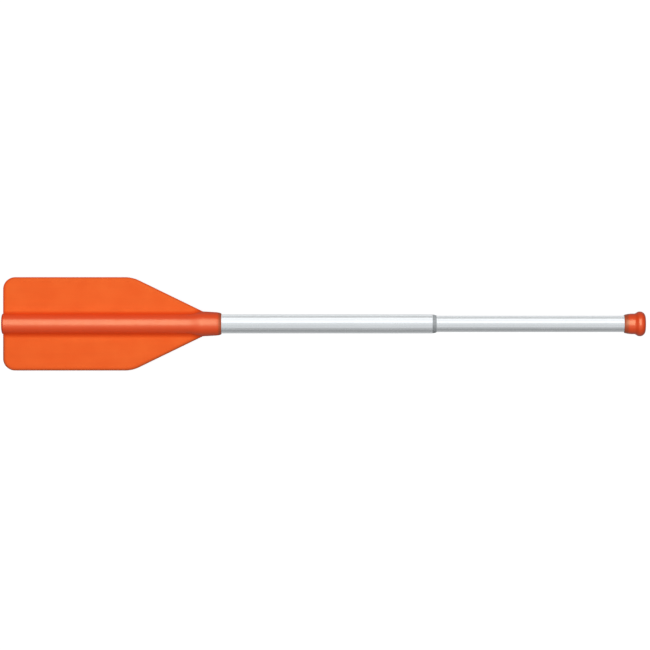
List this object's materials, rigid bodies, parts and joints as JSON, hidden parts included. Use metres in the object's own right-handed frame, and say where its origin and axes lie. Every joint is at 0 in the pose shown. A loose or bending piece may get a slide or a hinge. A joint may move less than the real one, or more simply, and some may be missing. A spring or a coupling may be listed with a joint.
{
  "type": "rowing oar",
  "caption": "Short telescopic oar for a small boat: ribbed plastic blade on an aluminium shaft that slides, twists to lock and ends in a flared grip.",
  "frame": {"origin": "on the shaft's axis, midway between the blade's tip and the grip's end with the shaft fully extended", "axes": "+X along the shaft towards the grip, +Y across the blade in its plane, +Z out of the blade's front face"},
  "size_m": [1.18, 0.171, 0.0456],
  "materials": {
    "orange_plastic": "moulded, fine satin texture",
    "aluminium": "satin anodised, drawn along the tube",
    "grey_nylon": "moulded",
    "black_nylon": "moulded",
    "steel": "stainless, turned",
    "brass": "turned",
    "rubber": "matt",
    "foam": "closed-cell foam"
  },
  "bodies": {
    "blade_and_lower_tube": {"blade": "orange_plastic", "tip_plug": "orange_plastic", "blade_screw_1": "steel", "blade_screw_2": "steel", "lower_tube": "aluminium", "float_foam": "foam", "mouth_bush": "grey_nylon"},
    "expander": {"thrust_washer": "steel", "expander_sleeve": "grey_nylon", "drag_ring": "rubber"},
    "upper_shaft": {"upper_tube": "aluminium", "grip": "orange_plastic", "grip_screw": "steel", "lock_plug": "black_nylon", "plug_seal": "rubber", "plug_pin": "steel", "lock_stud": "steel", "stop_washer": "steel", "stop_nut": "steel"},
    "cone": {"cone_nut": "brass"}
  },
  "joints": [
    {"name": "shaft_slide", "type": "slide", "parent": "blade_and_lower_tube", "child": "expander", "axis": [-1, 0, 0], "range_m": [0, 0.3436]},
    {"name": "twist_turn", "type": "hinge", "parent": "expander", "child": "upper_shaft", "pos_m": [0.1177, 0, 0], "axis": [1, 0, 0], "range_deg": [0, 360]},
    {"name": "cone_travel", "type": "slide", "parent": "expander", "child": "cone", "axis": [-1, 0, 0], "range_m": [0, 0.00125]}
  ],
  "couplings": [
    {"joint": "twist_turn", "follows": "cone_travel", "rad_per_m": 5026.5}
  ]
}
